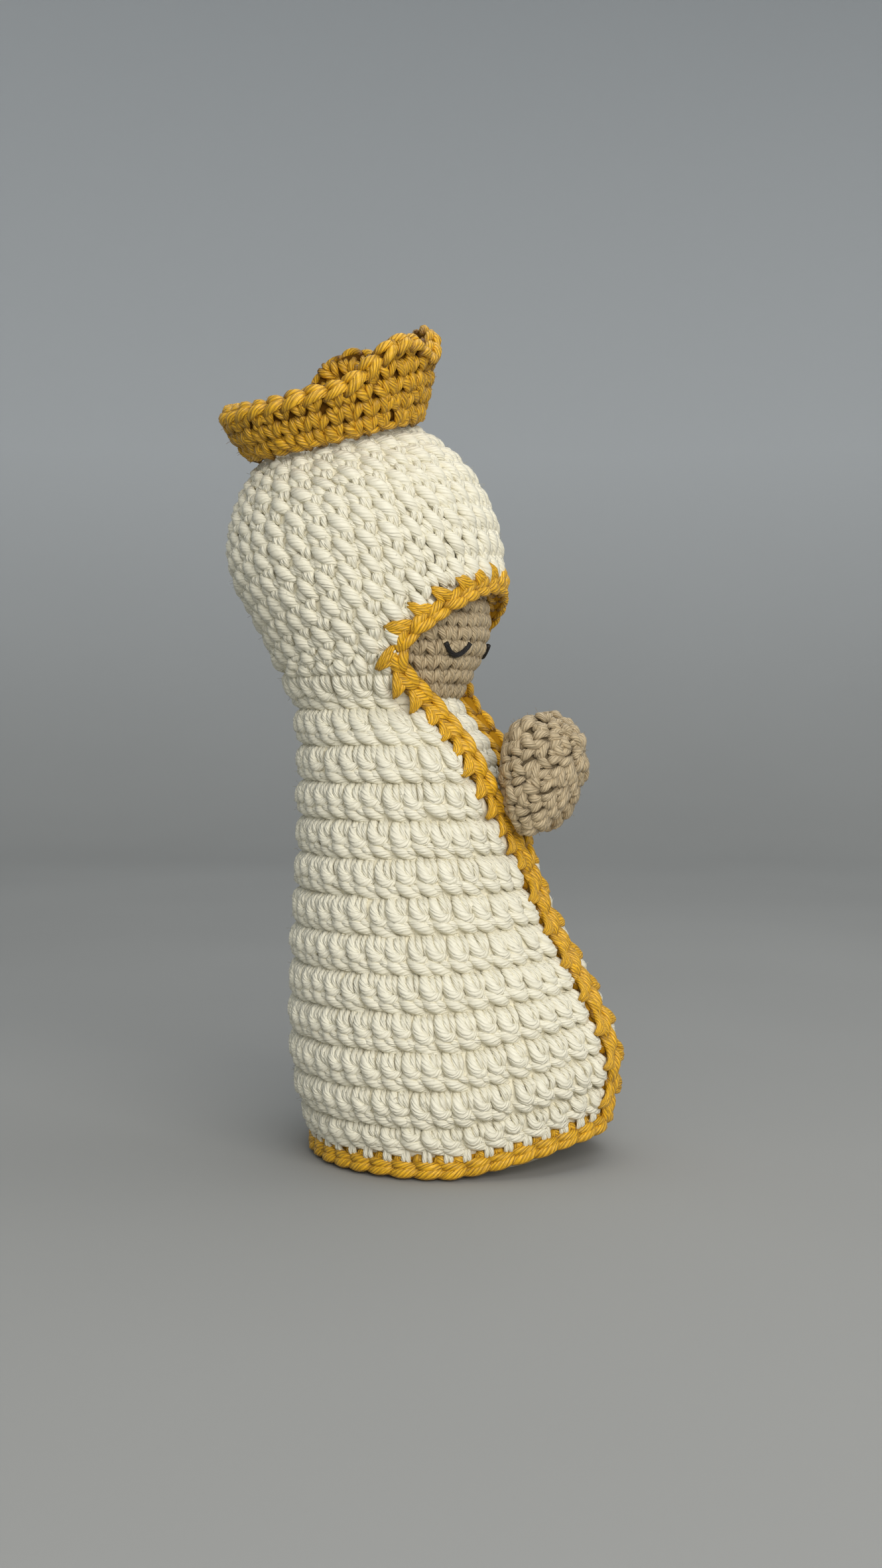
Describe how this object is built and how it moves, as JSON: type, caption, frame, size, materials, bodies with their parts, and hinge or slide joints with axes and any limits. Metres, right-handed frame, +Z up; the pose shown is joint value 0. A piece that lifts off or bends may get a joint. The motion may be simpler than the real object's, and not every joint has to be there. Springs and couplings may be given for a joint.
{
  "type": "amigurumi doll",
  "caption": "Crocheted doll of a praying veiled figure: stuffed dress, head and hands, a cream hooded mantle edged in gold, and a gold crown tilted back on the head.",
  "frame": {"origin": "middle of the flat underside of the dress, on the surface that the doll stands on", "axes": "+Z up; the doll faces -Y and its right hand is towards -X"},
  "size_m": [0.052, 0.0688, 0.1426],
  "materials": {
    "cream_yarn": "matte plied cotton, worked in raised crochet rows",
    "gold_yarn": "matte plied cotton braid, mustard gold",
    "beige_yarn": "matte plied cotton in close single crochet",
    "black_thread": "black embroidery thread",
    "stuffing": "loose polyester fibre",
    "card": "plain stiff card"
  },
  "bodies": {
    "body": {"dress": "cream_yarn", "dress_base": "cream_yarn", "base_disc": "card", "body_stuffing": "stuffing", "mantle": "cream_yarn", "front_edging_right": "gold_yarn", "front_edging_left": "gold_yarn", "hem_edging": "gold_yarn"},
    "head": {"head": "beige_yarn", "head_stuffing": "stuffing", "eye_right": "black_thread", "eye_left": "black_thread", "hood": "cream_yarn", "face_edging": "gold_yarn"},
    "hands": {"right_hand": "beige_yarn", "left_hand": "beige_yarn", "right_hand_stuffing": "stuffing", "left_hand_stuffing": "stuffing"},
    "crown": {"crown_band": "gold_yarn", "crown_points": "gold_yarn"}
  },
  "joints": [
    {"name": "head_turn", "type": "hinge", "parent": "body", "child": "head", "pos_m": [0, 0.0112, 0.078], "axis": [0, 0, 1], "range_deg": [-15, 15], "stiffness_Nm_per_rad": 0.02},
    {"name": "hands_swing", "type": "hinge", "parent": "body", "child": "hands", "pos_m": [0, -0.01215, 0.063], "axis": [1, 0, 0], "range_deg": [-12, 8], "stiffness_Nm_per_rad": 0.02},
    {"name": "crown_rock", "type": "hinge", "parent": "head", "child": "crown", "pos_m": [0, 0.0152, 0.103], "axis": [1, 0, 0], "range_deg": [-6, 6], "stiffness_Nm_per_rad": 0.03}
  ]
}
